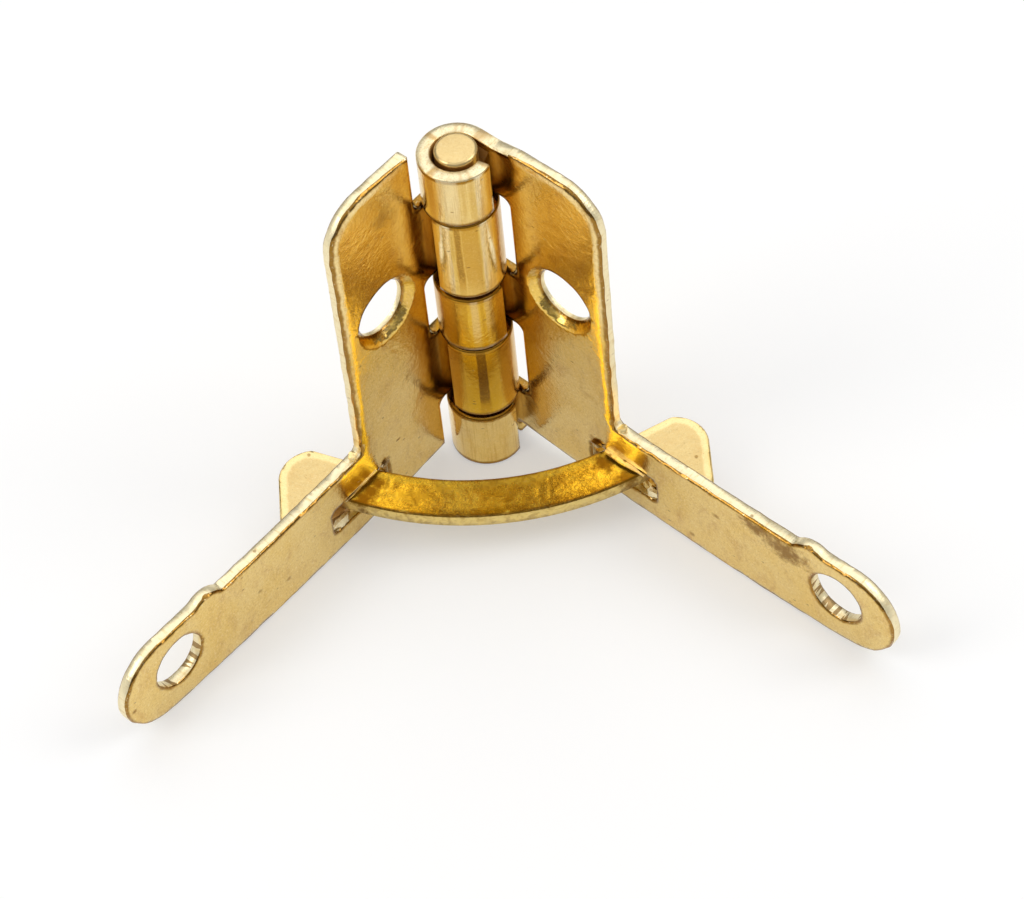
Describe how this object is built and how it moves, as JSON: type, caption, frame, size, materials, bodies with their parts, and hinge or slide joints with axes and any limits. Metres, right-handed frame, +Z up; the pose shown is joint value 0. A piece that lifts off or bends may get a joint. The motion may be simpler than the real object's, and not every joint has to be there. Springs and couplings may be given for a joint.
{
  "type": "box hinge",
  "caption": "Small quadrant hinge for a box lid: flat L-shaped leaves rolled round a pin, with a curved stay whose broad heads stop them at a right angle.",
  "frame": {"origin": "centre of the overall box in plan, at the height of the barrel's lower end", "axes": "+Z up along the hinge pin, as the hinge stands in the picture; the leaves open towards -Y and +X is on the side of the leaf with the upper, middle and lower knuckle"},
  "size_m": [0.0476, 0.0234, 0.0286],
  "materials": {
    "left_leaf": "polished gold-coloured plating",
    "right_leaf": "polished gold-coloured plating",
    "hinge_pin": "polished gold-coloured plating",
    "stay": "polished gold-coloured plating"
  },
  "bodies": {
    "left": {"left_leaf": "left_leaf", "hinge_pin": "hinge_pin"},
    "right": {"right_leaf": "right_leaf"},
    "stay": {"stay": "stay"}
  },
  "joints": [
    {"name": "leaf_fold", "type": "hinge", "parent": "left", "child": "right", "pos_m": [0, 0.00943, 0.014], "axis": [0, 0, -1], "range_deg": [0, 90]},
    {"name": "stay_travel", "type": "hinge", "parent": "left", "child": "stay", "pos_m": [-0.00283, 0.0106, 0.0036], "axis": [0, 0, -1], "range_deg": [0, 45]}
  ],
  "couplings": [
    {"joint": "stay_travel", "follows": "leaf_fold", "ratio": 0.5}
  ]
}
